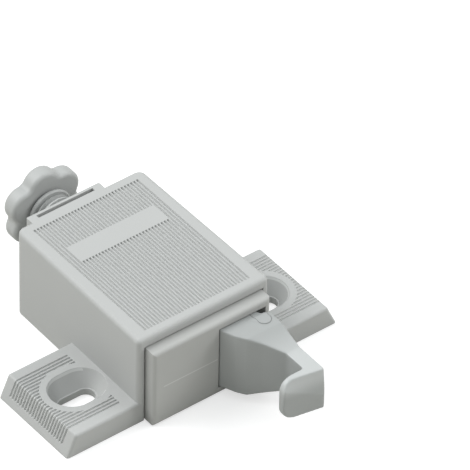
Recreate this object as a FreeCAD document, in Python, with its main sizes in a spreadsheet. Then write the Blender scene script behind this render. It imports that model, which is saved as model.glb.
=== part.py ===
import FreeCAD, Part

import math
import os

import Sketcher

# A catch for a cupboard door: a moulded housing is screwed down by two slotted ears, a carriage
# with a sprung hook stands out of its front, and a star knob at its rear draws the carriage in
# and out on a screw thread. Millimetres. X is across, Y runs from the hook to the knob, Z is up.

os.makedirs("parts", exist_ok=True)

SIZES = [
    # housing, seen from above
    ("housing_length", 53.6),
    ("housing_height", 27.8),
    ("front_half_width", 20.95),
    ("rear_half_width", 20.15),
    ("side_wall", 1.9),
    ("roof_wall", 2.75),
    ("rear_wall", 2.3),
    ("housing_round", 1.3),
    ("rear_corner_round", 2.2),
    # grooves and bare patch in the roof
    ("roof_groove_pitch", 1.0),
    ("roof_groove_border", 3.6),
    ("roof_groove_mouth", 0.6),
    ("roof_groove_floor", 0.4),
    ("roof_groove_depth", 0.6),
    ("roof_groove_front", 2.8),
    ("roof_groove_rear", 3.1),
    ("patch_rear", 13.5),
    ("patch_length", 6.7),
    ("patch_border", 6.25),
    # ears
    ("ear_width", 22.55),
    ("ear_lean", 2.9),
    ("ear_length", 29.3),
    ("ear_height", 6.5),
    ("ear_round", 0.8),
    ("ear_groove_pitch", 1.05),
    ("ear_groove_width", 0.55),
    ("ear_groove_depth", 0.45),
    ("ear_groove_front", 3.4),
    ("ear_groove_rear", 3.2),
    ("ear_groove_border", 3.25),
    ("ear_groove_foot", 2.0),
    # screw slots
    ("screw_inset", 8.55),
    ("screw_slot_width", 5.1),
    ("screw_slot_length", 10.8),
    ("screw_floor", 2.0),
    ("recess_radius", 6.5),
    ("recess_half_gap", 1.6),
    ("recess_rim", 1.9),
    ("recess_step", 0.35),
    # screw stem and its bearing in the rear wall
    ("stem_x", -3.7),
    ("stem_drop", 7.5),
    ("stem_ahead", 2.0),
    ("stem_radius", 6.0),
    ("nut_gap", 0.15),
    ("bearing_gap", 0.08),
    ("channel_gap", 0.3),
    ("bridge_half_width", 11.65),
    ("bridge_depth", 2.5),
    ("bridge_round", 1.1),
    # retaining plate
    ("plate_gap", 0.15),
    ("plate_thickness", 0.9),
    ("plate_half_width", 8.9),
    ("plate_below", 8.2),
    ("plate_above", 5.2),
    ("plate_play", 0.06),
    ("neck_radius", 4.5),
    ("neck_play", 0.15),
    # carriage
    ("stand_out", 3.65),
    ("draw_room", 9.3),
    ("slide_gap", 0.4),
    ("foot_gap", 0.2),
    ("carriage_round", 1.0),
    ("chamber_rear", 14.0),
    ("nut_length", 10.0),
    ("tunnel_length", 14.0),
    ("tunnel_gap", 0.35),
    ("core_wall", 1.9),
    # pin, and the hook's outline seen from above, counted from the pin
    ("pin_inset", 5.1),
    ("pivot_y", 2.2),
    ("pin_radius", 1.75),
    ("pin_gap", 0.05),
    ("pin_sink", 0.2),
    ("pin_bevel", 0.3),
    ("knuckle_radius", 3.05),
    ("mouth_side_gap", 0.3),
    ("root_reach", 11.2),
    ("root_cover", 0.6),
    ("flank_reach", 9.4),
    ("flank_front", 7.9),
    ("facet_reach", 7.8),
    ("hollow_reach", 4.9),
    ("hollow_front", 13.3),
    ("neck_reach", 0.95),
    ("tip_reach", 8.7),
    ("nose_reach", 29.7),
    ("nose_wall", 4.8),
    ("arm_right", 3.4),
    ("shoulder_front", 5.2),
    ("shoulder_right", 1.3),
    ("shoulder_mid", 4.6),
    ("shoulder_inner", 0.6),
    ("shoulder_rear", 3.1),
    # hook, seen from the side
    ("hook_floor", 2.6),
    ("hook_drop", 5.7),
    ("mouth_high_gap", 0.3),
    ("nose_slim", 3.05),
    ("nose_lift", 3.6),
    ("taper_start", 10.4),
    ("taper_end", 18.2),
    ("nose_tip_set", 2.5),
    ("nose_left_back", 1.9),
    ("nose_under_back", 0.6),
    ("nose_right_back", 1.3),
    ("crease_rise", 0.68),
    ("crease_drop", 0.36),
    ("nose_tip_round", 3.6),
    ("nose_side_round", 1.8),
    ("pad_offset", 0.4),
    ("pad_half_width", 1.9),
    ("pad_front", 8.9),
    ("pad_rear", 5.2),
    ("pad_spread", 1.7),
    ("pad_height", 0.3),
    # spring of square wire
    ("spring_wire", 0.8),
    ("spring_turns", 4),
    ("spring_pitch", 1.0),
    ("spring_play", 0.05),
    ("spring_cut", 3.0),
    ("spring_leg", 6.0),
    ("spring_end_gap", 2.0),
    # knob
    ("knob_gap", 6.8),
    ("knob_width", 4.8),
    ("knob_radius", 11.7),
    ("lobe_radius", 4.9),
    ("lobe_count", 6),
    ("lobe_start", 33.5),
    ("valley_round", 2.2),
    ("collar_width", 1.6),
    ("collar_radius", 6.5),
    ("lead_in", 0.8),
    ("knob_bevel", 1.2),
]


class Size:
    """A length that knows its number, for finding edges, and its cell formula, for binding."""

    def __init__(self, number, formula):
        self.number = float(number)
        self.formula = formula

    def __add__(self, other):
        other = as_size(other)
        return Size(self.number + other.number, "(%s + %s)" % (self.formula, other.formula))

    def __sub__(self, other):
        other = as_size(other)
        return Size(self.number - other.number, "(%s - %s)" % (self.formula, other.formula))

    def __mul__(self, other):
        other = as_size(other)
        return Size(self.number * other.number, "(%s * %s)" % (self.formula, other.formula))

    def __truediv__(self, other):
        other = as_size(other)
        return Size(self.number / other.number, "(%s / %s)" % (self.formula, other.formula))

    def __neg__(self):
        return Size(-self.number, "(0 - %s)" % self.formula)

    def __radd__(self, other):
        return as_size(other) + self

    def __rsub__(self, other):
        return as_size(other) - self

    def __rmul__(self, other):
        return as_size(other) * self


def as_size(value):
    if isinstance(value, Size):
        return value
    return Size(value, "(%s)" % repr(float(value)))


class Sheet:
    """The table of driving sizes; each cell is read by its alias."""

    def __init__(self, document):
        self.cells = document.addObject("Spreadsheet::Sheet", "Sizes")
        self.numbers = dict(SIZES)
        for row, (alias, number) in enumerate(SIZES, start=1):
            self.cells.set("A%d" % row, alias)
            self.cells.set("B%d" % row, str(number))
            self.cells.setAlias("B%d" % row, alias)

    def __getattr__(self, alias):
        return Size(self.numbers[alias], "Sizes.%s" % alias)


doc = FreeCAD.newDocument("cupboard_catch")
s = Sheet(doc)
doc.recompute()

UP = "XY_Plane"
ALONG = "XZ_Plane"
ACROSS = "YZ_Plane"


def bind(thing, prop, size):
    thing.setExpression(prop, as_size(size).formula)


def new_body(name, x=0.0, z=0.0):
    """A sub-part; its own Y is counted from the front plane, the part's from the screw slots."""
    body = doc.addObject("PartDesign::Body", name)
    body.Label = name
    bind(body, "Placement.Base.x", x)
    bind(body, "Placement.Base.y", -s.ear_length / 2)
    bind(body, "Placement.Base.z", z)
    return body


def new_sketch(body, name, plane, height=0.0, right=0.0, up=0.0):
    """A sketch on one of the body's own planes, shifted along X, Y or Z by height."""
    sketch = body.newObject("Sketcher::SketchObject", name)
    origin_plane = [f for f in body.Origin.OriginFeatures if f.Role == plane][0]
    sketch.AttachmentSupport = [(origin_plane, "")]
    sketch.MapMode = "FlatFace"
    along_normal = -as_size(height) if plane == ALONG else as_size(height)
    bind(sketch, "AttachmentOffset.Base.x", right)
    bind(sketch, "AttachmentOffset.Base.y", up)
    bind(sketch, "AttachmentOffset.Base.z", along_normal)
    return sketch


def hold(sketch, kind, geometry, corner, size):
    """One distance of a point from the sketch's origin."""
    size = as_size(size)
    index = sketch.addConstraint(Sketcher.Constraint(kind, -1, 1, geometry, corner, size.number))
    bind(sketch, "Constraints[%d]" % index, size)


def polygon(sketch, points):
    """A closed outline of straight sides, each corner held by two distances."""
    first = sketch.GeometryCount
    corners = [(as_size(u), as_size(v)) for u, v in points]
    spots = [FreeCAD.Vector(u.number, v.number, 0) for u, v in corners]
    count = len(spots)
    for i in range(count):
        sketch.addGeometry(Part.LineSegment(spots[i], spots[(i + 1) % count]), False)
    for i in range(count):
        after = first + (i + 1) % count
        sketch.addConstraint(Sketcher.Constraint("Coincident", first + i, 2, after, 1))
        hold(sketch, "DistanceX", first + i, 1, corners[i][0])
        hold(sketch, "DistanceY", first + i, 1, corners[i][1])


def rectangle(sketch, low_u, high_u, low_v, high_v):
    polygon(sketch, [(low_u, low_v), (high_u, low_v), (high_u, high_v), (low_u, high_v)])


def circle(sketch, u, v, radius):
    u, v, radius = as_size(u), as_size(v), as_size(radius)
    centre = FreeCAD.Vector(u.number, v.number, 0)
    shape = Part.Circle(centre, FreeCAD.Vector(0, 0, 1), radius.number)
    index = sketch.addGeometry(shape, False)
    hold(sketch, "DistanceX", index, 3, u)
    hold(sketch, "DistanceY", index, 3, v)
    ring = sketch.addConstraint(Sketcher.Constraint("Radius", index, radius.number))
    bind(sketch, "Constraints[%d]" % ring, radius)


def oblong(sketch, u, v, half_gap, radius):
    """A slot outline along the sketch's first axis: two half circles and two straight sides."""
    u, v, half_gap, radius = as_size(u), as_size(v), as_size(half_gap), as_size(radius)
    first = sketch.GeometryCount
    normal = FreeCAD.Vector(0, 0, 1)
    ends = []
    for side, start in ((-1, math.pi / 2), (1, -math.pi / 2)):
        centre = FreeCAD.Vector(u.number + side * half_gap.number, v.number, 0)
        ring = Part.Circle(centre, normal, radius.number)
        sketch.addGeometry(Part.ArcOfCircle(ring, start, start + math.pi), False)
        ends.append(centre)
    drop = FreeCAD.Vector(0, radius.number, 0)
    sketch.addGeometry(Part.LineSegment(ends[0] - drop, ends[1] - drop), False)
    sketch.addGeometry(Part.LineSegment(ends[1] + drop, ends[0] + drop), False)
    left, right, low, high = range(first, first + 4)
    joints = ((left, 2, low, 1), (low, 2, right, 1), (right, 2, high, 1), (high, 2, left, 1))
    for joint in joints:
        sketch.addConstraint(Sketcher.Constraint("Tangent", *joint))
    for arc, side in ((left, -1), (right, 1)):
        hold(sketch, "DistanceX", arc, 3, u + half_gap * side)
        hold(sketch, "DistanceY", arc, 3, v)
        ring = sketch.addConstraint(Sketcher.Constraint("Radius", arc, radius.number))
        bind(sketch, "Constraints[%d]" % ring, radius)


def half_disc(sketch, u, v, radius):
    """The lower half of a disc, closed by its own diameter."""
    u, v, radius = as_size(u), as_size(v), as_size(radius)
    centre = FreeCAD.Vector(u.number, v.number, 0)
    reach = FreeCAD.Vector(radius.number, 0, 0)
    ring = Part.Circle(centre, FreeCAD.Vector(0, 0, 1), radius.number)
    arc = sketch.addGeometry(Part.ArcOfCircle(ring, math.pi, 2 * math.pi), False)
    line = sketch.addGeometry(Part.LineSegment(centre + reach, centre - reach), False)
    sketch.addConstraint(Sketcher.Constraint("Coincident", arc, 2, line, 1))
    sketch.addConstraint(Sketcher.Constraint("Coincident", line, 2, arc, 1))
    hold(sketch, "DistanceX", arc, 3, u)
    hold(sketch, "DistanceY", arc, 3, v)
    hold(sketch, "DistanceY", line, 1, v)
    hold(sketch, "DistanceY", line, 2, v)
    size = sketch.addConstraint(Sketcher.Constraint("Radius", arc, radius.number))
    bind(sketch, "Constraints[%d]" % size, radius)


def corner_waste(sketch, u, v, radius):
    """What a rounding takes off a corner that points along the first axis and against the second."""
    u, v, radius = as_size(u), as_size(v), as_size(radius)
    over = 1.0
    centre = FreeCAD.Vector((u - radius).number, (v + radius).number, 0)
    ring = Part.Circle(centre, FreeCAD.Vector(0, 0, 1), radius.number)
    arc = sketch.addGeometry(Part.ArcOfCircle(ring, -math.pi / 2, 0), False)
    spots = [(u, v + radius), (u + over, v + radius), (u + over, v - over),
             (u - radius, v - over), (u - radius, v)]
    points = [FreeCAD.Vector(a.number, b.number, 0) for a, b in spots]
    sides = [sketch.addGeometry(Part.LineSegment(points[i], points[i + 1]), False)
             for i in range(len(points) - 1)]
    for side, spot in zip(sides, spots):
        hold(sketch, "DistanceX", side, 1, spot[0])
        hold(sketch, "DistanceY", side, 1, spot[1])
    loop = [arc] + sides
    for first, second in zip(loop, loop[1:] + loop[:1]):
        sketch.addConstraint(Sketcher.Constraint("Coincident", first, 2, second, 1))
    hold(sketch, "DistanceX", arc, 3, u - radius)
    hold(sketch, "DistanceY", arc, 3, v + radius)


def raise_solid(body, name, plane, low, high, draw, right=0.0, up=0.0):
    """Material between two heights along the plane's axis, in the outline that draw makes."""
    sketch = new_sketch(body, name + "_sketch", plane, low, right, up)
    draw(sketch)
    pad = body.newObject("PartDesign::Pad", name)
    pad.Profile = sketch
    bind(pad, "Length", as_size(high) - low)
    pad.Reversed = plane == ALONG
    doc.recompute()
    return pad


def cut_away(body, name, plane, low, high, draw, right=0.0, up=0.0):
    """The same for a cut; a cut that removes nothing is refused."""
    before = body.Shape.Volume
    sketch = new_sketch(body, name + "_sketch", plane, low, right, up)
    draw(sketch)
    pocket = body.newObject("PartDesign::Pocket", name)
    pocket.Profile = sketch
    bind(pocket, "Length", as_size(high) - low)
    pocket.Reversed = plane != ALONG
    doc.recompute()
    if not pocket.Shape.Volume < before:
        raise RuntimeError("%s cuts nothing" % name)
    return pocket


def turned(body, name, kind, points, right, up):
    """A revolved outline (distance along Y, radius) round the axis through right and up."""
    sketch = new_sketch(body, name + "_sketch", ACROSS, right, 0.0, up)
    polygon(sketch, points)
    feature = body.newObject("PartDesign::" + kind, name)
    feature.Profile = sketch
    feature.ReferenceAxis = (sketch, ["H_Axis"])
    feature.Angle = 360.0
    doc.recompute()
    return feature


def repeat(body, name, feature, axis_role, pitch, count):
    """Copies of a feature in a row."""
    pattern = body.newObject("PartDesign::LinearPattern", name)
    pattern.Originals = [feature]
    axis = [f for f in body.Origin.OriginFeatures if f.Role == axis_role][0]
    pattern.Direction = (axis, [""])
    bind(pattern, "Length", pitch * (count - 1))
    pattern.Occurrences = count
    body.Tip = pattern
    doc.recompute()
    return pattern


def middle(edge):
    return edge.valueAt((edge.FirstParameter + edge.LastParameter) / 2)


def edges_where(feature, test):
    """Names of a feature's edges whose middle point and direction pass the test."""
    names = []
    for number, edge in enumerate(feature.Shape.Edges, start=1):
        if edge.Length < 0.05:
            continue
        spot = middle(edge)
        box = edge.BoundBox
        if test(spot, box):
            names.append("Edge%d" % number)
    return names


def dress(body, name, kind, feature, test, size):
    """A fillet or chamfer on the edges that pass the test."""
    names = edges_where(feature, test)
    if not names:
        raise RuntimeError("%s finds no edge" % name)
    step = body.newObject("PartDesign::" + kind, name)
    step.Base = (feature, names)
    bind(step, "Radius" if kind == "Fillet" else "Size", size)
    doc.recompute()
    return step


def fitted(length, pitch):
    """How many grooves of a row fit in a length."""
    return int(length.number / pitch.number) + 1


def near(a, b, reach=0.02):
    return abs(a - as_size(b).number) < reach


def housing_half_width(y):
    """Half the housing's width at a distance behind its front; the sides close in to the rear."""
    draft = (s.front_half_width - s.rear_half_width) / s.housing_length
    return s.front_half_width - draft * y


def stem_z():
    return s.housing_height - s.stem_drop


def ceiling():
    return s.housing_height - s.roof_wall


def bridge_rear():
    return s.housing_length + s.bridge_depth


def make_housing():
    body = new_body("housing")
    front, rear = s.front_half_width, s.rear_half_width

    def plan(sketch):
        polygon(sketch, [(-front, 0), (front, 0), (rear, s.housing_length), (-rear, s.housing_length)])

    block = raise_solid(body, "block", UP, 0, s.housing_height, plan)

    def rear_corners(spot, box):
        return box.ZLength > s.housing_height.number * 0.9 and near(spot.y, s.housing_length)

    def other_edges(spot, box):
        upright = box.ZLength > s.housing_height.number * 0.9 and near(spot.y, 0)
        return upright or near(spot.z, s.housing_height)

    cornered = dress(body, "rear_corners", "Fillet", block, rear_corners, s.rear_corner_round)
    dress(body, "block_round", "Fillet", cornered, other_edges, s.housing_round)
    make_ears(body)

    def bridge_top(sketch):
        rectangle(sketch, s.stem_x - s.bridge_half_width, s.stem_x + s.bridge_half_width,
                  stem_z(), s.housing_height)

    def bridge_foot(sketch):
        half_disc(sketch, s.stem_x, stem_z(), s.bridge_half_width)

    inner_rear = s.housing_length - s.rear_wall
    raise_solid(body, "bridge_foot", ALONG, inner_rear, bridge_rear(), bridge_foot)
    bridge = raise_solid(body, "bridge_top", ALONG, inner_rear, bridge_rear(), bridge_top)

    def bridge_edges(spot, box):
        return near(spot.y, bridge_rear()) and box.YLength < 0.01

    dress(body, "bridge_round", "Fillet", bridge, bridge_edges, s.bridge_round)

    def hollow(sketch):
        wall = s.side_wall
        rear_wide = housing_half_width(inner_rear) - wall
        ahead = 1.0
        front_wide = housing_half_width(as_size(-ahead)) - wall
        polygon(sketch, [(-front_wide, -ahead), (front_wide, -ahead),
                         (rear_wide, inner_rear), (-rear_wide, inner_rear)])

    cut_away(body, "hollow", UP, 0, ceiling(), hollow)

    def channel(sketch):
        circle(sketch, s.stem_x, stem_z(), s.stem_radius + s.channel_gap)

    cut_away(body, "stem_channel", ALONG, stem_tip() - 2, inner_rear, channel)

    def bore(sketch):
        circle(sketch, s.stem_x, stem_z(), s.stem_radius + s.bearing_gap)

    cut_away(body, "stem_bore", ALONG, inner_rear - 1, bridge_rear() + 1, bore)

    def plate_slot(sketch):
        wide = s.plate_half_width + s.plate_play * 2
        rectangle(sketch, s.stem_x - wide, s.stem_x + wide,
                  plate_front() - s.plate_play, plate_rear() + s.plate_play)

    cut_away(body, "plate_slot", UP, plate_low(), s.housing_height + 1, plate_slot)
    make_roof_grooves(body)
    return body


def plate_low():
    return stem_z() - s.plate_below


def plate_front():
    return s.housing_length + s.plate_gap


def plate_rear():
    return plate_front() + s.plate_thickness


def ear_reach():
    return s.front_half_width + s.ear_width


def ear_ridge():
    return ear_reach() - s.ear_lean


def make_ears(body):
    root = s.rear_half_width - s.side_wall

    def profile(sketch):
        for side in (1, -1):
            polygon(sketch, [(root * side, 0), (ear_reach() * side, 0),
                             (ear_ridge() * side, s.ear_height), (root * side, s.ear_height)])

    ears = raise_solid(body, "ears", ALONG, 0, s.ear_length, profile)

    def rims(spot, box):
        past_wall = abs(spot.x) > s.front_half_width.number
        up = spot.z > s.ear_height.number / 4
        along_ridge = near(abs(spot.x), ear_ridge()) and box.YLength > 1
        end = near(spot.y, 0) or near(spot.y, s.ear_length)
        return past_wall and up and (along_ridge or end)

    dress(body, "ear_round", "Fillet", ears, rims, s.ear_round)
    slope = s.ear_lean / s.ear_height
    sunk = s.ear_groove_depth * 1.1

    def band(sketch):
        foot = s.ear_groove_foot
        over = 1.0
        for side in (1, -1):
            foot_x = ear_reach() - slope * foot
            floor = s.ear_height - s.ear_groove_depth
            inner = s.front_half_width + s.ear_groove_border
            polygon(sketch, [
                (inner * side, floor),
                ((ear_ridge() - sunk + slope * s.ear_groove_depth) * side, floor),
                ((foot_x - sunk) * side, foot),
                ((foot_x + over) * side, foot),
                ((ear_reach() + over) * side, s.ear_height + over),
                (inner * side, s.ear_height + over)])

    groove = cut_away(body, "ear_groove", ALONG, s.ear_groove_front,
                      s.ear_groove_front + s.ear_groove_width, band)
    row = s.ear_length - s.ear_groove_front - s.ear_groove_rear - s.ear_groove_width
    repeat(body, "ear_grooves", groove, "Y_Axis", s.ear_groove_pitch,
           fitted(row, s.ear_groove_pitch))

    def both(half_gap, radius):
        def draw(sketch):
            for side in (1, -1):
                centre = (s.front_half_width + s.screw_inset) * side
                oblong(sketch, centre, s.ear_length / 2, half_gap, radius)
        return draw

    raise_solid(body, "recess_rim", UP, s.ear_height - s.ear_groove_depth * 2, s.ear_height,
                both(s.recess_half_gap, s.recess_radius + s.recess_rim))
    for side, name in ((-1, "left_recess"), (1, "right_recess")):
        make_recess(body, name, (s.front_half_width + s.screw_inset) * side)
    cut_away(body, "screw_slot", UP, -1, s.screw_floor + 1,
             both((s.screw_slot_length - s.screw_slot_width) / 2, s.screw_slot_width / 2))


def make_recess(body, name, centre):
    """A tapered hollow for the screw's head, from a broad mouth down to just over the slot."""
    before = body.Shape.Volume
    slot_radius = s.screw_slot_width / 2
    slot_half_gap = (s.screw_slot_length - s.screw_slot_width) / 2
    sections = [("mouth", s.ear_height, s.recess_half_gap, s.recess_radius),
                ("seat", s.screw_floor, slot_half_gap, slot_radius + s.recess_step)]
    sketches = []
    for part, height, half_gap, radius in sections:
        sketch = new_sketch(body, "%s_%s" % (name, part), UP, height)
        oblong(sketch, centre, s.ear_length / 2, half_gap, radius)
        sketches.append(sketch)
    cut = body.newObject("PartDesign::SubtractiveLoft", name)
    cut.Profile = sketches[0]
    cut.Sections = [sketches[1]]
    cut.Ruled = True
    doc.recompute()
    if not cut.Shape.Volume < before:
        raise RuntimeError("%s cuts nothing" % name)


def make_roof_grooves(body):
    count = fitted((s.rear_half_width - s.roof_groove_border) * 2, s.roof_groove_pitch)
    first_x = -s.roof_groove_pitch * (count - 1) / 2
    top = s.housing_height
    over = 0.5

    def section(sketch):
        mouth, floor = s.roof_groove_mouth / 2, s.roof_groove_floor / 2
        depth = s.roof_groove_depth
        polygon(sketch, [(first_x - mouth, top), (first_x - floor, top - depth),
                         (first_x + floor, top - depth), (first_x + mouth, top),
                         (first_x + mouth, top + over), (first_x - mouth, top + over)])

    groove = cut_away(body, "roof_groove", ALONG, s.roof_groove_front,
                      s.housing_length - s.roof_groove_rear, section)
    repeat(body, "roof_grooves", groove, "X_Axis", s.roof_groove_pitch, count)

    def patch(sketch):
        half = s.rear_half_width - s.patch_border
        rear = s.housing_length - s.patch_rear
        rectangle(sketch, -half, half, rear - s.patch_length, rear)

    raise_solid(body, "bare_patch", UP, top - s.roof_groove_depth * 2, top, patch)


def carriage_half_width(y):
    return housing_half_width(y) - s.side_wall - s.slide_gap


def carriage_rear():
    return s.housing_length - s.rear_wall - s.draw_room


def nut_front():
    return carriage_rear() - s.nut_length


def stem_tip():
    return nut_front() - s.stem_ahead


def pin_x():
    return carriage_half_width(-s.stand_out) - s.pin_inset


def mouth_left():
    return pin_x() - s.root_reach - s.mouth_side_gap


def mouth_right():
    return pin_x() + s.arm_right


def hook_top():
    return s.housing_height - s.hook_drop


def hook_mid():
    return (s.hook_floor + hook_top()) / 2


def make_carriage():
    body = new_body("carriage")
    front, rear = -s.stand_out, carriage_rear()
    low, high = s.foot_gap, ceiling() - s.slide_gap
    wide_front, wide_rear = carriage_half_width(front), carriage_half_width(rear)

    def plan(sketch):
        polygon(sketch, [(-wide_front, front), (wide_front, front),
                         (wide_rear, rear), (-wide_rear, rear)])

    block = raise_solid(body, "slider", UP, low, high, plan)

    def front_edges(spot, box):
        return near(spot.y, front)

    dress(body, "slider_round", "Fillet", block, front_edges, s.carriage_round)

    def mouth(sketch):
        rectangle(sketch, mouth_left(), mouth_right(), front - 1, s.chamber_rear)

    cut_away(body, "hook_chamber", UP, s.hook_floor - s.mouth_high_gap,
             hook_top() + s.mouth_high_gap, mouth)

    def pin_hole(sketch):
        circle(sketch, pin_x(), s.pivot_y, s.pin_radius)

    cut_away(body, "pin_hole", UP, low - 1, high - s.core_wall / 2, pin_hole)
    make_carriage_cells(body, low, high)

    def tunnel(sketch):
        circle(sketch, s.stem_x, stem_z(), s.stem_radius + s.tunnel_gap)

    def nut_hole(sketch):
        circle(sketch, s.stem_x, stem_z(), s.stem_radius + s.nut_gap)

    cut_away(body, "stem_tunnel", ALONG, nut_front() - s.tunnel_length, nut_front(), tunnel)
    cut_away(body, "nut_hole", ALONG, nut_front() - 1, rear + 1, nut_hole)
    return body


def make_carriage_cells(body, low, high):
    """Cores from below, so that the moulding has even walls and a web round the stem."""
    wall = s.core_wall
    web = s.stem_radius + s.tunnel_gap + wall
    outer = carriage_half_width(carriage_rear()) - wall
    front, back = wall - s.stand_out, s.chamber_rear
    ahead, behind = s.chamber_rear + wall, carriage_rear() - wall
    left_middle = (mouth_left() - wall - outer) / 2

    def tall(sketch):
        rectangle(sketch, -outer, left_middle - wall / 2, front, back)
        rectangle(sketch, left_middle + wall / 2, mouth_left() - wall, front, back)
        rectangle(sketch, -outer, s.stem_x - web, ahead, behind)
        rectangle(sketch, s.stem_x + web + wall / 2, outer, ahead, behind)

    def short(sketch):
        rectangle(sketch, s.stem_x - web + wall, s.stem_x - wall / 2, ahead, behind)
        rectangle(sketch, s.stem_x + wall / 2, s.stem_x + web - wall, ahead, behind)

    cut_away(body, "tall_cells", UP, low - 1, high - wall, tall)
    cut_away(body, "short_cells", UP, low - 1, stem_z() - web, short)


def make_hook():
    body = new_body("hook", pin_x())
    low, high = s.hook_floor, hook_top()
    rear = s.pivot_y - s.pin_radius + s.root_cover

    def knuckle(sketch):
        circle(sketch, 0, s.pivot_y, s.knuckle_radius)

    def plan(sketch):
        polygon(sketch, [
            (-s.root_reach, rear), (-s.root_reach, -s.stand_out),
            (-s.flank_reach, -s.flank_front), (-s.facet_reach, -s.taper_start),
            (-s.hollow_reach, -s.hollow_front), (-s.neck_reach, -s.taper_end),
            (-s.neck_reach, -throat_depth()), (-s.tip_reach, -throat_depth()),
            (-s.tip_reach, -nose_blank()), (s.arm_right, -nose_blank()),
            (s.arm_right, -s.shoulder_front),
            (s.shoulder_right, -s.shoulder_mid), (s.shoulder_inner, -s.shoulder_rear),
            (s.knuckle_radius * 0.9, s.pivot_y - s.knuckle_radius * 0.3), (0, rear)])

    raise_solid(body, "knuckle", UP, low, high, knuckle)
    raise_solid(body, "arm", UP, low, high, plan)
    make_hook_taper(body, low, high)
    make_nose(body)
    make_pad(body)

    def bore(sketch):
        circle(sketch, 0, s.pivot_y, s.pin_radius + s.pin_gap)

    def spring_room(sketch):
        wide = spring_radius() + s.spring_wire
        rectangle(sketch, -wide, s.arm_right, s.pivot_y - wide, s.pivot_y + wide)

    cut_away(body, "pin_bore", UP, low - 1, high + 1, bore)
    cut_away(body, "spring_room", UP, hook_mid() - s.spring_cut, hook_mid() + s.spring_cut,
             spring_room)

    def leg_hole(sketch):
        square(sketch, s.pivot_y - spring_radius(), hook_mid() - coil_height() / 2,
               s.spring_wire / 2 + s.spring_play)

    cut_away(body, "leg_hole", ACROSS, -s.spring_leg - s.spring_play, 0, leg_hole)
    return body


def square(sketch, u, v, half):
    rectangle(sketch, u - half, u + half, v - half, v + half)


def throat_depth():
    return s.nose_reach - s.nose_wall


def nose_blank():
    """The arm is made longer than the nose, whose front is then cut to its slopes."""
    return s.nose_reach + 1.3


def nose_top():
    return hook_top() - s.nose_slim


def nose_floor():
    return s.hook_floor + s.nose_lift


def make_hook_taper(body, low, high):
    """Both flanks slope in from the full height at the root to the nose's height."""
    far = nose_blank() + 5
    over = 1.0

    def flanks(sketch):
        for side, full in ((1, high), (-1, low)):
            thin = nose_top() if side > 0 else nose_floor()
            polygon(sketch, [(-s.taper_start, full), (-s.taper_end, thin), (-far, thin),
                             (-far, full + over * side), (-s.taper_start, full + over * side)])

    cut_away(body, "taper", ACROSS, -s.root_reach - 2, s.arm_right + 2, flanks)


def make_nose(body):
    """The nose's front is a shallow ridge that falls from the tip to the outer side; its free
    end and its outer corner are rounded."""
    before = body.Shape.Volume
    half = (nose_top() - nose_floor()) / 2
    centre = nose_floor() + half
    low, high = nose_floor() - 1, nose_top() + 1
    far = nose_blank() + 5
    ends = [("nose_left", -s.tip_reach - 1, s.nose_reach - s.nose_tip_set, s.nose_left_back,
             centre + half * s.crease_rise),
            ("nose_right", s.arm_right + 1, s.nose_reach, s.nose_right_back,
             centre - half * s.crease_drop)]
    sketches = []
    for name, x, front, back, crease in ends:
        sketch = new_sketch(body, name, ACROSS, x)
        polygon(sketch, [(s.nose_under_back - front, low), (-front, crease),
                         (back - front, high), (-far, high), (-far, low)])
        sketches.append(sketch)
    cut = body.newObject("PartDesign::SubtractiveLoft", "nose_front")
    cut.Profile = sketches[0]
    cut.Sections = [sketches[1]]
    cut.Ruled = True
    doc.recompute()
    if not cut.Shape.Volume < before:
        raise RuntimeError("nose_front cuts nothing")

    def tip_corners(spot, box):
        at_end = near(spot.x, -s.tip_reach) and box.YLength > 0.3 and box.XLength < 0.01
        return at_end and (near(spot.z, nose_top()) or near(spot.z, nose_floor()))

    dress(body, "tip_round", "Fillet", cut, tip_corners, s.nose_tip_round)

    def outer_corner(sketch):
        corner_waste(sketch, s.arm_right, -s.nose_reach, s.nose_side_round)

    cut_away(body, "side_round", UP, low, high, outer_corner)


def make_pad(body):
    """A low tongue on top of the arm, round at its front end."""
    low, high = hook_top() - s.pad_height, hook_top() + s.pad_height
    bend = -s.pad_front + s.pad_half_width

    def tongue(sketch):
        left, right = s.pad_offset - s.pad_half_width, s.pad_offset + s.pad_half_width
        polygon(sketch, [(left - s.pad_spread, -s.pad_rear), (left, bend), (right, bend),
                         (right, -s.pad_rear)])

    def end(sketch):
        half_disc(sketch, s.pad_offset, bend, s.pad_half_width)

    raise_solid(body, "pad", UP, low, high, tongue)
    raise_solid(body, "pad_end", UP, low, high, end)


def spring_radius():
    return s.arm_right - s.spring_wire / 2 - s.spring_play


def coil_height():
    return s.spring_pitch * (s.spring_turns + 0.25)


def make_hook_pin():
    body = new_body("hook_pin")
    low = s.foot_gap + s.pin_sink
    high = ceiling() - s.slide_gap - s.core_wall / 2

    def section(sketch):
        circle(sketch, pin_x(), s.pivot_y, s.pin_radius)

    pin = raise_solid(body, "pin", UP, low, high, section)

    def ends(spot, box):
        return box.ZLength < 0.01

    dress(body, "pin_ends", "Chamfer", pin, ends, s.pin_bevel)
    return body


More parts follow.
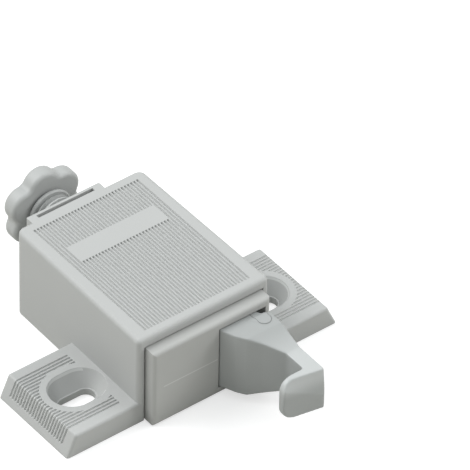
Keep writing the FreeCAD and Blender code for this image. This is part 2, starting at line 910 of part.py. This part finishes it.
def make_hook_spring():
    """A coil of square wire round the pin; one leg enters the hook, the other leans on the
    chamber."""
    body = new_body("hook_spring", pin_x(), hook_mid())
    bind(body, "Placement.Base.y", s.pivot_y - s.ear_length / 2)
    start = -coil_height() / 2
    wire = s.spring_wire / 2
    sketch = new_sketch(body, "wire_section", ACROSS)
    square(sketch, -spring_radius(), start, wire)
    coil = body.newObject("PartDesign::AdditiveHelix", "coil")
    coil.Profile = sketch
    coil.ReferenceAxis = (sketch, ["V_Axis"])
    coil.Mode = "pitch-height-angle"
    bind(coil, "Pitch", s.spring_pitch)
    bind(coil, "Height", coil_height())
    coil.LeftHanded = False
    coil.Reversed = False
    doc.recompute()

    def hook_leg(leg):
        square(leg, -spring_radius(), start, wire)

    def wall_leg(leg):
        square(leg, spring_radius(), -start, wire)

    raise_solid(body, "hook_leg", ACROSS, -s.spring_leg, 0, hook_leg)
    raise_solid(body, "wall_leg", ALONG, 0, s.chamber_rear - s.pivot_y - s.spring_end_gap, wall_leg)
    return body


def make_knob():
    """The stem, its neck for the plate, the collar and the star head are one moulding."""
    body = new_body("adjusting_knob", s.stem_x, stem_z())
    tip, outer = stem_tip(), s.stem_radius
    front = s.housing_length + s.knob_gap + s.collar_width
    rear = front + s.knob_width
    neck_front, neck_rear = plate_front() - s.neck_play, plate_rear() + s.neck_play
    inside = front + s.knob_width / 2
    collar = front - s.collar_width
    turned(body, "stem", "Revolution",
           [(tip, 0), (tip, outer - s.lead_in), (tip + s.lead_in, outer), (neck_front, outer),
            (neck_front, s.neck_radius), (neck_rear, s.neck_radius), (neck_rear, outer),
            (collar, outer), (collar, s.collar_radius), (inside, s.collar_radius), (inside, 0)],
           0.0, 0.0)

    def hub(sketch):
        circle(sketch, 0, 0, s.knob_radius - s.lobe_radius + 1)

    def lobe(sketch):
        reach = s.knob_radius - s.lobe_radius
        turn = Size(math.radians(s.lobe_start.number), "Sizes.lobe_start")
        across = Size(reach.number * math.cos(turn.number),
                      "(%s * cos(%s * 1deg))" % (reach.formula, turn.formula))
        upward = Size(reach.number * math.sin(turn.number),
                      "(%s * sin(%s * 1deg))" % (reach.formula, turn.formula))
        circle(sketch, across, upward, s.lobe_radius)

    raise_solid(body, "hub", ALONG, front, rear, hub)
    one = raise_solid(body, "lobe", ALONG, front, rear, lobe)
    lobes = body.newObject("PartDesign::PolarPattern", "lobes")
    lobes.Originals = [one]
    axis = [f for f in body.Origin.OriginFeatures if f.Role == "Y_Axis"][0]
    lobes.Axis = (axis, [""])
    lobes.Angle = 360.0
    lobes.Occurrences = int(s.lobe_count.number)
    body.Tip = lobes
    doc.recompute()

    def valleys(spot, box):
        return box.YLength > s.knob_width.number * 0.9 and near(box.XLength + box.ZLength, 0)

    hollowed = dress(body, "valley_round", "Fillet", lobes, valleys, s.valley_round)

    def rims(spot, box):
        far = math.hypot(spot.x, spot.z) > s.collar_radius.number + 1
        return far and (near(spot.y, front) or near(spot.y, rear))

    dress(body, "knob_bevel", "Chamfer", hollowed, rims, s.knob_bevel)
    return body


def make_plate():
    body = new_body("retaining_plate")
    front, rear = plate_front(), plate_rear()
    wide = s.neck_radius + s.bearing_gap

    def sheet(sketch):
        rectangle(sketch, s.stem_x - s.plate_half_width, s.stem_x + s.plate_half_width,
                  plate_low(), stem_z() + s.plate_above)

    def notch_top(sketch):
        circle(sketch, s.stem_x, stem_z(), wide)

    def notch(sketch):
        rectangle(sketch, s.stem_x - wide, s.stem_x + wide, plate_low() - 1, stem_z())

    raise_solid(body, "sheet", ALONG, front, rear, sheet)
    cut_away(body, "notch_top", ALONG, front - 1, rear + 1, notch_top)
    cut_away(body, "notch", ALONG, front - 1, rear + 1, notch)
    return body


def write_parts(bodies):
    for thing in doc.Objects:
        bad = [state for state in thing.State if state in ("Invalid", "Error")]
        if bad:
            raise RuntimeError("%s is %s" % (thing.Label, bad))
    for body in bodies:
        shape = body.Shape
        if shape.isNull() or not shape.isValid():
            raise RuntimeError("%s has no sound shape" % body.Label)
        shape.exportStep("parts/%s.step" % body.Label)
        print(body.Label, "%.0f mm3" % shape.Volume, len(shape.Solids), "solid")


makers = (make_housing, make_carriage, make_hook, make_hook_pin, make_hook_spring,
          make_knob, make_plate)
parts = [maker() for maker in makers]
doc.recompute()
write_parts(parts)
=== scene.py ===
import math

import bmesh
import bpy
from mathutils import Matrix, Vector


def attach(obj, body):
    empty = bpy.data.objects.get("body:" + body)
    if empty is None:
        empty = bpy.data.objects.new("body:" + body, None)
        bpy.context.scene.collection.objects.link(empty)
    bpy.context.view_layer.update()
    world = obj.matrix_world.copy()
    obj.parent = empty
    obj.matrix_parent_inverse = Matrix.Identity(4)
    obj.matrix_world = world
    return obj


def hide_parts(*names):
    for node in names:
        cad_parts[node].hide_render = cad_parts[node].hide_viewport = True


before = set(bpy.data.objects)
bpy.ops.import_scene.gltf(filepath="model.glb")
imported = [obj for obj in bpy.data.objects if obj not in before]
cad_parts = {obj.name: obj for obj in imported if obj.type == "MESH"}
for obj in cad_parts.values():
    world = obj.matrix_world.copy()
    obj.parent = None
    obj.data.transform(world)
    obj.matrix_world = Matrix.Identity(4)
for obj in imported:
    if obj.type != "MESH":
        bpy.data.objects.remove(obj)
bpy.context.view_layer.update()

# The catch is seen from above and to the left of the hook, from two metres away through a long
# lens, so that its edges stay nearly parallel. The view is tilted by a single degree.
aim = Vector((0.0348, 0.0175, 0.012))
azimuth, elevation = math.radians(-38.15), math.radians(41.51)
roll = math.radians(0.99)
distance = 2.082
sensor_width, focal_pixels, photo_pixels = 36.0, 8000.0, 470.0
nearest, farthest = 0.1, 20.0

towards_camera = Vector((math.sin(azimuth) * math.cos(elevation),
                         -math.cos(azimuth) * math.cos(elevation), math.sin(elevation)))
level_right = Vector((0, 0, 1)).cross(towards_camera).normalized()
level_up = towards_camera.cross(level_right)
right = level_right * math.cos(roll) + level_up * math.sin(roll)
up = level_up * math.cos(roll) - level_right * math.sin(roll)
turned = Matrix((right, up, towards_camera)).transposed().to_4x4()

lens = bpy.data.cameras.new("view")
lens.sensor_width = sensor_width
lens.lens = focal_pixels * sensor_width / photo_pixels
lens.clip_start = nearest
lens.clip_end = farthest
camera = bpy.data.objects.new("view", lens)
camera.matrix_world = Matrix.Translation(aim + towards_camera * distance) @ turned
bpy.context.collection.objects.link(camera)
bpy.context.scene.camera = camera
bpy.context.scene.view_settings.view_transform = "Standard"


# The table under the catch is a wide sheet of paper that keeps a soft shadow. The room is bright
# overhead and dim at the horizon. One large soft lamp hangs above, behind and to the left, and a
# smaller one in front and to the right opens the slopes that the first leaves dark.
class Flow:
    """A value on its way through a material: sums and products of it add Math nodes."""

    def __init__(self, tree, socket=None):
        self.tree = tree
        self.socket = socket

    def node(self, kind, settings, sockets, output=0):
        """Any node: its settings first, then the values or links of its sockets."""
        made = self.tree.nodes.new("ShaderNode" + kind)
        for name, value in settings.items():
            setattr(made, name, value)
        for name, value in sockets.items():
            if isinstance(value, Flow):
                self.tree.links.new(value.socket, made.inputs[name])
            else:
                made.inputs[name].default_value = value
        return Flow(self.tree, made.outputs[output])

    def ramp(self, value, low, high):
        """0 below low, 1 above high, smooth between."""
        return self.node("MapRange", {"interpolation_type": "SMOOTHSTEP"},
                         {"Value": value, "From Min": low, "From Max": high})

    def blend(self, share, first, second):
        """The first colour where the share is 0, the second where it is 1."""
        return self.node("Mix", {"data_type": "RGBA"}, {0: share, 6: first, 7: second}, output=2)

    def axes(self):
        """The point's X, Y and Z on the piece."""
        point = self.node("TexCoord", {}, {}, output="Object")
        split = self.node("SeparateXYZ", {}, {"Vector": point}).socket.node
        return [Flow(self.tree, split.outputs[axis]) for axis in "XYZ"]

    def maths(self, operation, first, second=0.0):
        return self.node("Math", {"operation": operation}, {0: first, 1: second})

    def __add__(self, other):
        return self.maths("ADD", self, other)

    def __sub__(self, other):
        return self.maths("SUBTRACT", self, other)

    def __mul__(self, other):
        return self.maths("MULTIPLY", self, other)

    def __radd__(self, other):
        return self.maths("ADD", other, self)

    def __rsub__(self, other):
        return self.maths("SUBTRACT", other, self)

    def __rmul__(self, other):
        return self.maths("MULTIPLY", other, self)


def new_material(name):
    material = bpy.data.materials.new(name)
    material.use_nodes = True
    material.node_tree.nodes.clear()
    return material, Flow(material.node_tree)


def close_tree(flow, shader, kind="OutputMaterial"):
    end = flow.tree.nodes.new("ShaderNode" + kind)
    flow.tree.links.new(shader.socket, end.inputs["Surface"])


# The paper throws a pale warm grey back on the catch. To the camera it glows as well, so that it
# looks white without more light on the catch.
table_half, table_drop = 3.0, 0.0002
paper_bounce = (0.600, 0.594, 0.558, 1)
paper_seen = (0.50, 0.50, 0.50, 1)
paper_glow = 0.60
white = (1, 1, 1, 1)

corners = [(-table_half, -table_half, -table_drop), (table_half, -table_half, -table_drop),
           (table_half, table_half, -table_drop), (-table_half, table_half, -table_drop)]
sheet = bpy.data.meshes.new("table_sheet")
sheet.from_pydata(corners, [], [(0, 1, 2, 3)])
table = bpy.data.objects.new("table_sheet", sheet)
bpy.context.collection.objects.link(table)
paper, flow = new_material("white_sheet")
bounced = flow.node("BsdfDiffuse", {}, {"Color": paper_bounce})
seen = flow.node("BsdfDiffuse", {}, {"Color": paper_seen})
glow = flow.node("Emission", {}, {"Color": white, "Strength": paper_glow})
glowing = flow.node("AddShader", {}, {0: seen, 1: glow})
is_camera = flow.node("LightPath", {}, {}, output="Is Camera Ray")
close_tree(flow, flow.node("MixShader", {}, {0: is_camera, 1: bounced, 2: glowing}))
sheet.materials.append(paper)

horizon_level, overhead_level = 0.08, 1.12
horizon_tint, overhead_tint = (1.0, 0.985, 0.94, 1), (0.94, 0.985, 1.0, 1)

sky = bpy.data.worlds.new("soft_room")
sky.use_nodes = True
sky.node_tree.nodes.clear()
flow = Flow(sky.node_tree)
looking = flow.node("TexCoord", {}, {}, output="Generated")
height = flow.node("SeparateXYZ", {}, {"Vector": looking}, output="Z")
overhead = flow.maths("MAXIMUM", height, 0.0)
level = overhead * (overhead_level - horizon_level) + horizon_level
tint = flow.blend(overhead, horizon_tint, overhead_tint)
room = flow.node("Background", {}, {"Color": tint, "Strength": level})
backdrop = flow.node("Background", {}, {"Color": white, "Strength": 1.0})
is_camera = flow.node("LightPath", {}, {}, output="Is Camera Ray")
close_tree(flow, flow.node("MixShader", {}, {0: is_camera, 1: room, 2: backdrop}), "OutputWorld")
bpy.context.scene.world = sky


def soft_lamp(name, direction, away, width, power):
    """A square lamp that faces the catch from a direction."""
    lamp = bpy.data.lights.new(name, "AREA")
    lamp.size = width
    lamp.energy = power
    holder = bpy.data.objects.new(name, lamp)
    towards = Vector(direction).normalized()
    holder.location = towards * away
    holder.rotation_euler = towards.to_track_quat("Z", "Y").to_euler()
    bpy.context.collection.objects.link(holder)


soft_lamp("key", direction=(-0.6, 0.65, 0.95), away=2.0, width=1.4, power=29.0)
soft_lamp("right", direction=(1.0, -0.6, 0.7), away=2.2, width=1.0, power=20.0)


# The housing is one moulding of light-grey plastic with its ears and the bridge behind, and is
# screwed down through the slots of the ears. Its faces keep the fine dull texture of the mould, its
# edges are a little rubbed and carry a painted highlight, and the grooves of roof and ears are
# painted paler than the faces, painted light that lifts the shade inside them.
housing_grey = (0.432, 0.439, 0.433)
cloud_scale, speck_scale, cloud_share = 60.0, 2400.0, 0.7
darker, lighter, rubbed_and_highlit_paler = 0.97, 1.03, 1.1
edge_turn = 0.25
grain_height, relief_height = 0.00003, 0.0003
cloudy_gloss, rubbed_gloss, plastic_sheen = 0.1, 0.05, 0.4


def toned(shade, factor):
    return tuple(channel * factor for channel in shade) + (1,)


def grey_plastic(name, shade, rough, soft, rub_and_highlight, shaded=None, relief=None):
    """Moulded plastic: cloudy colour, fine mould texture, and a smoother edge with wear and a
    painted highlight.
    """
    material, flow = new_material(name)
    place = flow.node("TexCoord", {}, {}, output="Object")
    cloud = flow.node("TexNoise", {}, {"Vector": place, "Scale": cloud_scale, "Detail": 4.0})
    speck = flow.node("TexNoise", {}, {"Vector": place, "Scale": speck_scale, "Detail": 3.0})
    soft_edge = flow.node("Bevel", {"samples": 8}, {"Radius": soft})
    face = flow.node("NewGeometry", {}, {}, output="Normal")
    along = flow.node("VectorMath", {"operation": "DOT_PRODUCT"}, {0: soft_edge, 1: face},
                      output="Value")
    rubbed_and_highlit = flow.ramp(1 - along, 0.0, edge_turn)
    mottle = cloud * cloud_share + speck * (1 - cloud_share)
    colour = flow.blend(mottle, toned(shade, darker), toned(shade, lighter))
    # The edges are painted paler: partly rub wear, partly a painted highlight that every edge gets.
    colour = flow.blend(rubbed_and_highlit * rub_and_highlight, colour, toned(shade, rubbed_and_highlit_paler))
    if shaded:
        colour = shaded(flow, colour)
    form = soft_edge
    if relief:
        form = flow.node("Bump", {}, {"Strength": 1.0, "Distance": relief_height,
                                      "Height": relief(flow), "Normal": soft_edge})
    grain = flow.node("Bump", {}, {"Strength": 0.3, "Distance": grain_height,
                                   "Height": speck, "Normal": form})
    dull = rough + (cloud - 0.5) * cloudy_gloss - rubbed_and_highlit * rubbed_gloss
    close_tree(flow, flow.node("BsdfPrincipled", {}, {
        "Base Color": colour, "Roughness": dull, "Specular IOR Level": plastic_sheen,
        "Normal": grain}))
    return material


def dress(node, material):
    """The node keeps its own mesh and gets one material."""
    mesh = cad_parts[node].data
    mesh.materials.clear()
    mesh.materials.append(material)


roof, roof_half = 0.0278, 0.0170
roof_front, roof_rear = -0.0119, 0.0359
ear_top, ear_ridge = 0.0065, 0.0406
ear_inner, ear_end = 0.0240, 0.0435
ear_front, ear_rear = -0.0115, 0.0117
groove_lip, groove_full, groove_floor = 0.00005, 0.0002, 0.0007
# The groove grey is painted light: it lifts the shade that falls in the grooves.
groove_light_grey, roof_groove_light, ear_groove_light = (0.72, 0.73, 0.72, 1), 0.32, 0.55


def cut_into(flow, depth):
    """1 on the floor and walls of a groove, 0 on the surface that it is cut into and far below."""
    return flow.ramp(depth, groove_lip, groove_full) * flow.maths("LESS_THAN", depth, groove_floor)


def within(flow, value, low, high):
    return flow.maths("GREATER_THAN", value, low) * flow.maths("LESS_THAN", value, high)


def groove_painted_light(flow, colour):
    """The grooves of roof and ears, which run on down the ears' slopes, are painted paler against
    their shade.
    """
    x, y, z = flow.axes()
    side = flow.maths("ABSOLUTE", x)
    roof_field = flow.maths("LESS_THAN", side, roof_half) * within(flow, y, roof_front, roof_rear)
    ear_field = within(flow, side, ear_inner, ear_end) * within(flow, y, ear_front, ear_rear)
    lean = math.hypot(ear_top, ear_end - ear_ridge)
    above_slope = ((side - ear_ridge) * (ear_top / lean)
                   + (z - ear_top) * ((ear_end - ear_ridge) / lean))
    below_ear = flow.maths("MINIMUM", ear_top - z, 0 - above_slope)
    cut = (cut_into(flow, roof - z) * roof_field * roof_groove_light
           + cut_into(flow, below_ear) * ear_field * ear_groove_light)
    return flow.blend(cut, colour, groove_light_grey)


dress("housing", grey_plastic("housing_grey", housing_grey, rough=0.55, soft=0.0003, rub_and_highlight=0.35,
                              shaded=groove_painted_light))


# The carriage is a second moulding of the same plastic that slides in the housing. Only its
# front end shows, with the mouth for the hook and a faint painted highlight where the mould closed.
carriage_grey = (0.421, 0.425, 0.414)
# The paler line is a painted highlight, the light that the step of the parting line catches.
line_highlight_grey, line_highlight_share = (0.60, 0.61, 0.60, 1), 0.6
line_height, line_half = 0.0124, 0.00012
line_left, line_right = -0.0155, 0.0017
front_plane = -0.0182


def mould_line_highlight(flow, colour):
    """A thin painted highlight across the front face, where the halves of the mould met."""
    x, y, z = flow.axes()
    close = 1 - flow.ramp(flow.maths("ABSOLUTE", z - line_height), line_half, line_half * 2)
    front = flow.maths("LESS_THAN", y, front_plane)
    shown = close * within(flow, x, line_left, line_right) * front
    return flow.blend(shown * line_highlight_share, colour, line_highlight_grey)


dress("carriage", grey_plastic("carriage_grey", carriage_grey, rough=0.55, soft=0.0003, rub_and_highlight=0.35,
                               shaded=mould_line_highlight))


# The hook is moulded in a smoother, darker grey, and turns in the mouth of the carriage. All its
# edges are rounded, and a low tongue with a round end lies on top of its arm.
hook_grey = (0.353, 0.366, 0.363)
# The paler grey near the nose is painted light, as if the upward faces there were lit more.
nose_light_grey = (0.480, 0.495, 0.493, 1)
lit_start, lit_full = 0.024, 0.036
crease_low, crease_high = 0.0130, 0.0175
side_face, top_face = 0.3, 0.8
nose_back = -0.0394
tongue_x, tongue_half = 0.0140, 0.0019
tongue_bend, tongue_edge = -0.02165, 0.00015
skin_size, rounding_passes = 0.00025, 12


def tongue(flow):
    """A low tongue on top of the arm, round at its front end."""
    x, y, _ = flow.axes()
    across = x - tongue_x
    ahead = flow.maths("MAXIMUM", tongue_bend - y, 0.0)
    away = flow.maths("SQRT", across * across + ahead * ahead) - tongue_half
    return 1 - flow.ramp(away, -tongue_edge, tongue_edge)


def nose_painted_light(flow, colour):
    """Painted light: the arm's upward faces near the nose, and the nose above its crease, are paler.
    """
    _, y, z = flow.axes()
    face = flow.node("NewGeometry", {}, {}, output="Normal")
    upward = flow.node("VectorMath", {"operation": "DOT_PRODUCT"}, {0: face, 1: (0, 0, 1)},
                       output="Value")
    nose = flow.maths("LESS_THAN", y, nose_back)
    shown = flow.maths("MAXIMUM", flow.ramp(upward, side_face, top_face), nose)
    forward = flow.ramp(0 - y, lit_start, lit_full)
    return flow.blend(forward * flow.ramp(z, crease_low, crease_high) * shown, colour, nose_light_grey)


plain_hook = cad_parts["hook"]
hook = bpy.data.objects.new("moulded_hook", plain_hook.data.copy())
hook.matrix_world = plain_hook.matrix_world.copy()
bpy.context.collection.objects.link(hook)
hook.data.materials.clear()
hook.data.materials.append(grey_plastic("hook_grey", hook_grey, rough=0.34, soft=0.0002, rub_and_highlight=0.3,
                                        shaded=nose_painted_light, relief=tongue))

# The skin is laid anew in small even faces and then smoothed, which rounds all the edges. The
# tongue is too low to outlast that, so the material marks its outline.
remesh = hook.modifiers.new("even_skin", "REMESH")
remesh.mode = "VOXEL"
remesh.voxel_size = skin_size
remesh.use_smooth_shade = True
soften = hook.modifiers.new("soft_edges", "SMOOTH")
soften.factor = 0.5
soften.iterations = rounding_passes
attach(hook, "hook")
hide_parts("hook")


# The hook turns on a ground steel pin that lies in a bore of the carriage. A torsion spring of
# drawn steel wire, inside the carriage, presses the hook shut.
streak_dark, streak_light = 0.85, 1.1
streak_height, streak_gloss = 0.00001, 0.12


def bare_steel(name, shade, rough, streak):
    """Plain steel with fine streaks, which run longest along the axis of the smallest number."""
    material, flow = new_material(name)
    place = flow.node("TexCoord", {}, {}, output="Object")
    drawn = flow.node("VectorMath", {"operation": "MULTIPLY"}, {0: place, 1: streak})
    lines = flow.node("TexNoise", {}, {"Vector": drawn, "Scale": 1.0, "Detail": 3.0})
    bump = flow.node("Bump", {}, {"Strength": 0.3, "Distance": streak_height, "Height": lines})
    colour = flow.blend(lines, toned(shade, streak_dark), toned(shade, streak_light))
    close_tree(flow, flow.node("BsdfPrincipled", {}, {
        "Base Color": colour, "Metallic": 1.0, "Roughness": rough + lines * streak_gloss,
        "Normal": bump}))
    return material


pin_steel, wire_steel = (0.55, 0.55, 0.56), (0.40, 0.40, 0.42)
dress("hook_pin", bare_steel("ground_pin", pin_steel, rough=0.24, streak=(3000, 3000, 200)))
dress("hook_spring", bare_steel("spring_wire", wire_steel, rough=0.30, streak=(2000, 2000, 2000)))


# The star knob and its coarse screw are one moulding, of nearly the same grey as the housing. They
# are one closed skin, drawn as rings of points from the tip of the screw to the back of the star.
# The ridge of the screw runs right-handed, and the rims of the star are rounded.
knob_grey = (0.414, 0.423, 0.418)
stem_x, stem_z = -0.0037, 0.0203
# Lengths along the stem start at the front of the housing, and the origin lies this far behind it.
front_to_origin = 0.01465
stem_tip = 0.0300
neck_front, neck_rear, neck_radius = 0.0536, 0.0548, 0.0045
core_radius, ridge_radius = 0.0050, 0.0060
pitch, half_root, half_crest = 0.00175, 0.00055, 0.000225
collar_front, collar_rear = 0.0604, 0.0615
collar_radius, collar_edge = 0.0065, 0.0003
star_front, star_rear = 0.0620, 0.0668
rim_round, rim_steps = 0.0012, 6
hub_radius = 0.0040
lobes, lobe_radius, lobe_reach, lobe_start = 6, 0.0049, 0.0068, math.radians(33.5)
valley_radius = 0.0022
lobe_steps, valley_steps = 24, 10
same_point, crease_angle = 0.000001, math.radians(40)


def star_outline():
    """The star's points with their outward normals, lobe after lobe, each with a hollow after it."""
    between = math.pi / lobes
    valley_reach = lobe_reach * math.cos(between) + math.sqrt(
        (lobe_radius + valley_radius) ** 2 - (lobe_reach * math.sin(between)) ** 2)
    lobe_half = math.atan2(valley_reach * math.sin(between),
                           valley_reach * math.cos(between) - lobe_reach)
    valley_half = lobe_half - between
    points = []
    for lobe in range(lobes):
        middle = lobe_start + 2 * between * lobe
        hollow = middle + between
        arcs = [(lobe_reach, middle, lobe_radius, lobe_half * (2 * i / lobe_steps - 1))
                for i in range(lobe_steps)]
        arcs += [(valley_reach, hollow, -valley_radius, valley_half * (1 - 2 * i / valley_steps))
                 for i in range(valley_steps)]
        for reach, towards, radius, swing in arcs:
            normal = Vector((math.cos(towards + swing), math.sin(towards + swing)))
            centre = Vector((math.cos(towards), math.sin(towards))) * reach
            points.append((centre + normal * radius, normal))
    return points


# The stem's rings have their points at the angles of the star's outline, so that the faces join
# them one to one, and every ring ends with its first point again.
outline = star_outline()
first = math.atan2(outline[0][0].y, outline[0][0].x)
turns = [(math.atan2(point.y, point.x) - first) % (2 * math.pi) for point, _ in outline]
turns.append(2 * math.pi)


def round_ring(radius, y):
    return [(radius * math.cos(first + turn), y, radius * math.sin(first + turn))
            for turn in turns]


def star_ring(inset, y):
    """The star's outline, drawn in by the inset."""
    ring = [(point.x - normal.x * inset, y, point.y - normal.y * inset)
            for point, normal in outline]
    return ring + ring[:1]


def screw_rings(low, high):
    """Rows that follow the ridge round the stem; at both ends the ridge sinks into the core."""
    section = ((-half_root, core_radius), (-half_crest, ridge_radius),
               (half_crest, ridge_radius), (half_root, core_radius))
    rows = []
    for k in range(math.ceil((high - low) / pitch) + 2):
        for along, radius in section:
            row = []
            for turn in turns:
                y = low + pitch * (k - turn / (2 * math.pi)) + along
                ridge = min(radius - core_radius, max(0.0, min(y - low, high - y)))
                angle, reach = first + turn, core_radius + ridge
                row.append((reach * math.cos(angle), min(max(y, low), high),
                            reach * math.sin(angle)))
            rows.append(row)
    return rows


quarter = [math.radians(90 / rim_steps * step) for step in range(rim_steps + 1)]
rim = [(rim_round * (1 - math.sin(angle)), rim_round * (1 - math.cos(angle))) for angle in quarter]
rings = screw_rings(stem_tip, neck_front)
rings += [round_ring(neck_radius, neck_front), round_ring(neck_radius, neck_rear)]
rings += screw_rings(neck_rear, collar_front)
rings += [round_ring(radius, y) for radius, y in (
    (collar_radius - collar_edge, collar_front), (collar_radius, collar_front + collar_edge),
    (collar_radius, collar_rear - collar_edge), (collar_radius - collar_edge, collar_rear),
    (core_radius, collar_rear), (core_radius, star_front))]
rings += [star_ring(inset, star_front + rise) for inset, rise in rim]
rings += [star_ring(inset, star_rear - rise) for inset, rise in reversed(rim)]
rings.append(round_ring(hub_radius, star_rear))

shell = bmesh.new()
rows = [[shell.verts.new(point) for point in ring] for ring in rings]
for low, high in zip(rows, rows[1:]):
    for i in range(len(turns) - 1):
        shell.faces.new((low[i], low[i + 1], high[i + 1], high[i]))
shell.faces.new(rows[0][:0:-1])
shell.faces.new(rows[-1][1:])
bmesh.ops.remove_doubles(shell, verts=shell.verts, dist=same_point)
bmesh.ops.dissolve_degenerate(shell, edges=shell.edges, dist=same_point)
bmesh.ops.recalc_face_normals(shell, faces=shell.faces)
skin = bpy.data.meshes.new("star_knob")
shell.to_mesh(skin)
shell.free()
skin.polygons.foreach_set("use_smooth", [True] * len(skin.polygons))
skin.set_sharp_from_angle(angle=crease_angle)
skin.materials.append(grey_plastic("knob_grey", knob_grey, rough=0.45, soft=0.0002, rub_and_highlight=0.35))
knob = bpy.data.objects.new("star_knob", skin)
knob.location = (stem_x, -front_to_origin, stem_z)
bpy.context.collection.objects.link(knob)
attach(knob, "knob")
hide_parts("adjusting_knob")


# A thin steel plate drops into the slot of the bridge and straddles the neck of the stem, so
# that the knob turns in place. It is painted near black, a painted shade that makes the slot look
# dark.
plate_shade_black = (0.06, 0.06, 0.06)
dress("retaining_plate", bare_steel("shade_black_steel", plate_shade_black, rough=0.5, streak=(200, 3000, 3000)))
